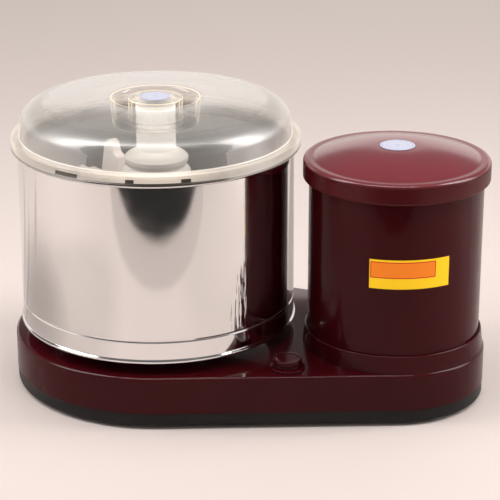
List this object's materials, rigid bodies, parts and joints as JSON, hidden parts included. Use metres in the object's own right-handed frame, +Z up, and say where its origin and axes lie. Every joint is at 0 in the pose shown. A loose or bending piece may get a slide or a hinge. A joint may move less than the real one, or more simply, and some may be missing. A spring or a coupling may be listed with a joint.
{
  "type": "wet grinder",
  "caption": "Countertop wet grinder: lift-out steel drum with granite stones and clear lid, belt-driven by a motor tower on a shared base.",
  "frame": {"origin": "middle of the footprint, on the surface that the feet stand on", "axes": "+Z up, +X from the drum to the motor tower, -Y towards the user and the switch"},
  "size_m": [0.434, 0.2642, 0.2664],
  "materials": {
    "maroon_gloss": "high gloss maroon",
    "black_plastic": "satin black",
    "polished_steel": "mirror-polished stainless steel",
    "machined_steel": "turned steel",
    "cast_aluminium": "as cast",
    "clear_lid": "clear polycarbonate",
    "white_nylon": "satin moulded nylon",
    "grey_granite": "fine-ground granite",
    "black_rubber": "matt rubber",
    "copper_winding": "enamelled copper wire",
    "lamination_steel": "stacked laminations",
    "pale_sticker": "printed film",
    "yellow_label": "printed film",
    "red_lead": "insulated wire",
    "grey_can": "drawn can"
  },
  "bodies": {
    "base": {"rubber_foot_1": "black_rubber", "rubber_foot_2": "black_rubber", "rubber_foot_3": "black_rubber", "rubber_foot_4": "black_rubber", "bottom_tray": "black_plastic", "tray_screw_1": "machined_steel", "tray_screw_2": "machined_steel", "tray_screw_3": "machined_steel", "tray_screw_4": "machined_steel", "base_body": "maroon_gloss", "motor_can": "maroon_gloss", "motor_cap": "maroon_gloss", "cap_sticker": "pale_sticker", "side_label": "yellow_label", "stator_core": "lamination_steel", "stator_winding": "copper_winding", "upper_end_shield": "cast_aluminium", "lower_end_shield": "cast_aluminium", "upper_motor_bearing": "machined_steel", "lower_motor_bearing": "machined_steel", "motor_bolt_1": "machined_steel", "motor_bolt_2": "machined_steel", "motor_bolt_3": "machined_steel", "capacitor": "grey_can", "motor_lead": "red_lead", "bearing_housing": "cast_aluminium", "housing_nut": "machined_steel", "upper_spindle_bearing": "machined_steel", "lower_spindle_bearing": "machined_steel", "centre_rod": "polished_steel", "rod_nut": "machined_steel", "switch_body": "black_plastic", "switch_bezel": "maroon_gloss", "cord_gland": "black_rubber", "drive_belt": "black_rubber"},
    "drive": {"spindle": "machined_steel", "drive_pulley": "cast_aluminium", "drive_coupling": "cast_aluminium"},
    "rotor": {"rotor_core": "lamination_steel", "motor_shaft": "machined_steel", "motor_pulley": "cast_aluminium", "cooling_fan": "black_plastic"},
    "drum": {"drum_wall": "polished_steel", "drum_pan": "polished_steel", "drum_coupling": "cast_aluminium", "base_stone": "grey_granite", "centre_tube": "polished_steel", "stone_clamp_nut": "white_nylon"},
    "lid": {"lid": "clear_lid", "lid_sticker": "pale_sticker"},
    "holder": {"holder_body": "white_nylon", "holder_grip": "white_nylon", "wiper": "white_nylon", "left_axle_bolt": "polished_steel", "right_axle_bolt": "polished_steel"},
    "left_roller": {"left_roller_stone": "grey_granite", "left_roller_bush": "white_nylon"},
    "right_roller": {"right_roller_stone": "grey_granite", "right_roller_bush": "white_nylon"},
    "switch_knob": {"switch_knob": "maroon_gloss"}
  },
  "joints": [
    {"name": "drum_spin", "type": "hinge", "parent": "base", "child": "drive", "pos_m": [-0.0846, 0, 0.066], "axis": [0, 0, 1], "continuous": true},
    {"name": "motor_spin", "type": "hinge", "parent": "base", "child": "rotor", "pos_m": [0.1338, 0, 0.108], "axis": [0, 0, 1], "continuous": true},
    {"name": "drum_lift", "type": "slide", "parent": "drive", "child": "drum", "axis": [0, 0, 1], "range_m": [0, 0.165]},
    {"name": "holder_lift", "type": "slide", "parent": "base", "child": "holder", "axis": [0, 0, 1], "range_m": [0, 0.165]},
    {"name": "lid_lift", "type": "slide", "parent": "drum", "child": "lid", "axis": [0, 0, 1], "range_m": [0, 0.06]},
    {"name": "left_roller_spin", "type": "hinge", "parent": "holder", "child": "left_roller", "pos_m": [-0.11937, -0.00932, 0.1413], "axis": [-0.9659, -0.2588, 0], "continuous": true},
    {"name": "right_roller_spin", "type": "hinge", "parent": "holder", "child": "right_roller", "pos_m": [-0.04983, 0.00932, 0.1413], "axis": [0.9659, 0.2588, 0], "continuous": true},
    {"name": "switch_turn", "type": "hinge", "parent": "base", "child": "switch_knob", "pos_m": [0.0512, -0.0821, 0.0489], "axis": [0, 0, 1], "range_deg": [0, 90]}
  ],
  "couplings": [
    {"joint": "motor_spin", "follows": "drum_spin", "ratio": 8},
    {"joint": "left_roller_spin", "follows": "drum_spin", "ratio": 2.0909},
    {"joint": "right_roller_spin", "follows": "drum_spin", "ratio": 2.0909},
    {"joint": "holder_lift", "follows": "drum_lift", "ratio": 1}
  ]
}
